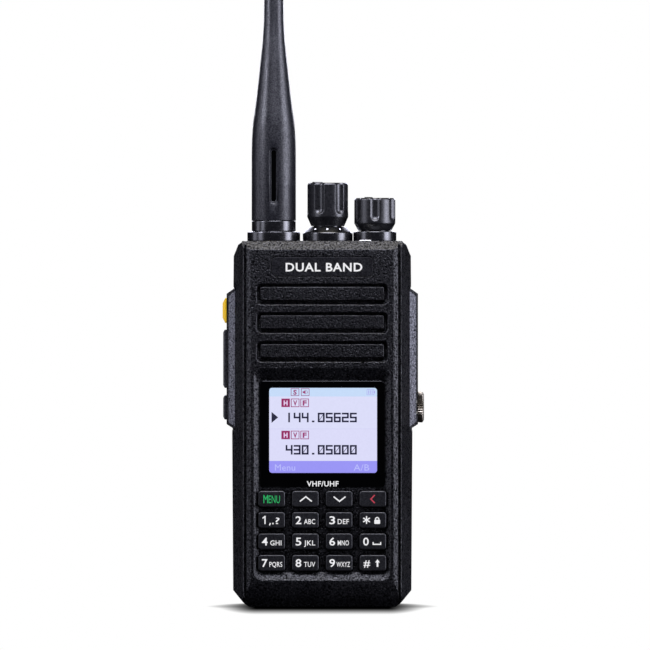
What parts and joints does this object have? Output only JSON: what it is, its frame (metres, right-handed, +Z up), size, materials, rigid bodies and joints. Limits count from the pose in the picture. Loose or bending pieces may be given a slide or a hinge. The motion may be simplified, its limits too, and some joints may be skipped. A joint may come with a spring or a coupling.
{
  "type": "handheld two-way radio",
  "caption": "Handheld dual-band radio with colour display, keypad, two top knobs, screw-on whip antenna, push-to-talk side keys, slide-off battery pack and sprung belt clip.",
  "frame": {"origin": "middle of the bottom face the radio stands on", "axes": "+Z up along the antenna, front with display and keys facing -Y, battery and belt clip at +Y, push-to-talk side at -X"},
  "size_m": [0.0701, 0.0425, 0.298],
  "materials": {
    "case_plastic": "textured",
    "badge": "satin",
    "gloss_plastic": "gloss",
    "lens": "polished",
    "display": "lit",
    "key": "satin",
    "rubber": "matte",
    "clip_plastic": "textured",
    "pad": "satin",
    "yellow": "satin",
    "antenna": "satin",
    "bronze": "knurled",
    "brass": "polished",
    "steel": "satin",
    "chassis": "black coated",
    "board": "satin",
    "speaker": "matte",
    "component": "satin",
    "light_pipe": "polished",
    "cell_wrap": "film wrapped"
  },
  "bodies": {
    "radio_body": {"front_case": "case_plastic", "case_gasket": "rubber", "chassis": "chassis", "badge_plate": "badge", "display_lens": "lens", "lcd_module": "display", "keypad_mat": "rubber", "keypad_board": "board", "speaker": "speaker", "microphone": "steel", "main_board": "board", "rf_shield": "steel", "battery_terminals": "component", "led_light_pipe": "light_pipe", "antenna_collar": "gloss_plastic", "antenna_jack": "brass", "volume_collar": "gloss_plastic", "volume_pot": "component", "channel_collar": "gloss_plastic", "channel_encoder": "component", "side_key_bezel": "pad", "accessory_jack": "component", "clip_bracket": "chassis", "clip_pin": "steel", "clip_screw_left": "steel", "clip_screw_right": "steel", "clip_spring": "steel"},
    "battery": {"battery_case": "case_plastic", "battery_cells": "cell_wrap"},
    "battery_latch": {"battery_latch": "gloss_plastic"},
    "belt_clip": {"belt_clip": "clip_plastic"},
    "antenna": {"antenna_ring": "gloss_plastic", "antenna_sleeve": "antenna", "antenna_core": "brass"},
    "volume_knob": {"volume_knob": "gloss_plastic", "volume_shaft": "steel"},
    "channel_knob": {"channel_knob": "gloss_plastic", "channel_shaft": "steel"},
    "emergency_button": {"emergency_button": "yellow"},
    "ptt_button": {"ptt_button": "rubber"},
    "monitor_button": {"monitor_button": "rubber"},
    "accessory_cover": {"accessory_cover": "pad"},
    "thumb_screw": {"thumb_screw": "bronze"},
    "key_menu": {"key_menu": "key"},
    "key_up": {"key_up": "key"},
    "key_down": {"key_down": "key"},
    "key_back": {"key_back": "key"},
    "key_1": {"key_1": "key"},
    "key_2": {"key_2": "key"},
    "key_3": {"key_3": "key"},
    "key_star": {"key_star": "key"},
    "key_4": {"key_4": "key"},
    "key_5": {"key_5": "key"},
    "key_6": {"key_6": "key"},
    "key_0": {"key_0": "key"},
    "key_7": {"key_7": "key"},
    "key_8": {"key_8": "key"},
    "key_9": {"key_9": "key"},
    "key_hash": {"key_hash": "key"}
  },
  "joints": [
    {"name": "key_menu_press", "type": "slide", "parent": "radio_body", "child": "key_menu", "axis": [0, 1, 0], "range_m": [0, 0.0007], "stiffness_N_per_m": 400},
    {"name": "key_up_press", "type": "slide", "parent": "radio_body", "child": "key_up", "axis": [0, 1, 0], "range_m": [0, 0.0007], "stiffness_N_per_m": 400},
    {"name": "key_down_press", "type": "slide", "parent": "radio_body", "child": "key_down", "axis": [0, 1, 0], "range_m": [0, 0.0007], "stiffness_N_per_m": 400},
    {"name": "key_back_press", "type": "slide", "parent": "radio_body", "child": "key_back", "axis": [0, 1, 0], "range_m": [0, 0.0007], "stiffness_N_per_m": 400},
    {"name": "key_1_press", "type": "slide", "parent": "radio_body", "child": "key_1", "axis": [0, 1, 0], "range_m": [0, 0.0007], "stiffness_N_per_m": 400},
    {"name": "key_2_press", "type": "slide", "parent": "radio_body", "child": "key_2", "axis": [0, 1, 0], "range_m": [0, 0.0007], "stiffness_N_per_m": 400},
    {"name": "key_3_press", "type": "slide", "parent": "radio_body", "child": "key_3", "axis": [0, 1, 0], "range_m": [0, 0.0007], "stiffness_N_per_m": 400},
    {"name": "key_star_press", "type": "slide", "parent": "radio_body", "child": "key_star", "axis": [0, 1, 0], "range_m": [0, 0.0007], "stiffness_N_per_m": 400},
    {"name": "key_4_press", "type": "slide", "parent": "radio_body", "child": "key_4", "axis": [0, 1, 0], "range_m": [0, 0.0007], "stiffness_N_per_m": 400},
    {"name": "key_5_press", "type": "slide", "parent": "radio_body", "child": "key_5", "axis": [0, 1, 0], "range_m": [0, 0.0007], "stiffness_N_per_m": 400},
    {"name": "key_6_press", "type": "slide", "parent": "radio_body", "child": "key_6", "axis": [0, 1, 0], "range_m": [0, 0.0007], "stiffness_N_per_m": 400},
    {"name": "key_0_press", "type": "slide", "parent": "radio_body", "child": "key_0", "axis": [0, 1, 0], "range_m": [0, 0.0007], "stiffness_N_per_m": 400},
    {"name": "key_7_press", "type": "slide", "parent": "radio_body", "child": "key_7", "axis": [0, 1, 0], "range_m": [0, 0.0007], "stiffness_N_per_m": 400},
    {"name": "key_8_press", "type": "slide", "parent": "radio_body", "child": "key_8", "axis": [0, 1, 0], "range_m": [0, 0.0007], "stiffness_N_per_m": 400},
    {"name": "key_9_press", "type": "slide", "parent": "radio_body", "child": "key_9", "axis": [0, 1, 0], "range_m": [0, 0.0007], "stiffness_N_per_m": 400},
    {"name": "key_hash_press", "type": "slide", "parent": "radio_body", "child": "key_hash", "axis": [0, 1, 0], "range_m": [0, 0.0007], "stiffness_N_per_m": 400},
    {"name": "emergency_button_press", "type": "slide", "parent": "radio_body", "child": "emergency_button", "axis": [1, 0, 0], "range_m": [0, 0.0008], "stiffness_N_per_m": 600},
    {"name": "ptt_button_press", "type": "slide", "parent": "radio_body", "child": "ptt_button", "axis": [1, 0, 0], "range_m": [0, 0.0008], "stiffness_N_per_m": 900},
    {"name": "monitor_button_press", "type": "slide", "parent": "radio_body", "child": "monitor_button", "axis": [1, 0, 0], "range_m": [0, 0.0008], "stiffness_N_per_m": 600},
    {"name": "volume_turn", "type": "hinge", "parent": "radio_body", "child": "volume_knob", "pos_m": [0.0019, -0.005, 0.14], "axis": [0, 0, 1], "range_deg": [-140, 140]},
    {"name": "channel_turn", "type": "hinge", "parent": "radio_body", "child": "channel_knob", "pos_m": [0.0183, -0.005, 0.136], "axis": [0, 0, 1], "continuous": true},
    {"name": "antenna_unscrew", "type": "hinge", "parent": "radio_body", "child": "antenna", "pos_m": [-0.0169, -0.005, 0.132], "axis": [0, 0, 1], "continuous": true},
    {"name": "accessory_cover_pull", "type": "slide", "parent": "radio_body", "child": "accessory_cover", "axis": [1, 0, 0], "range_m": [0, 0.012]},
    {"name": "thumb_screw_turn", "type": "hinge", "parent": "accessory_cover", "child": "thumb_screw", "pos_m": [0.034, -0.0034, 0.0692], "axis": [1, 0, 0], "continuous": true},
    {"name": "battery_slide", "type": "slide", "parent": "radio_body", "child": "battery", "axis": [0, 0, -1], "range_m": [0, 0.01]},
    {"name": "latch_slide", "type": "slide", "parent": "radio_body", "child": "battery_latch", "axis": [0, 0, 1], "range_m": [0, 0.002], "stiffness_N_per_m": 500},
    {"name": "belt_clip_squeeze", "type": "hinge", "parent": "radio_body", "child": "belt_clip", "pos_m": [0, 0.0196, 0.116], "axis": [1, 0, 0], "range_deg": [0, 12], "stiffness_Nm_per_rad": 0.4, "springref_deg": -17.19}
  ]
}
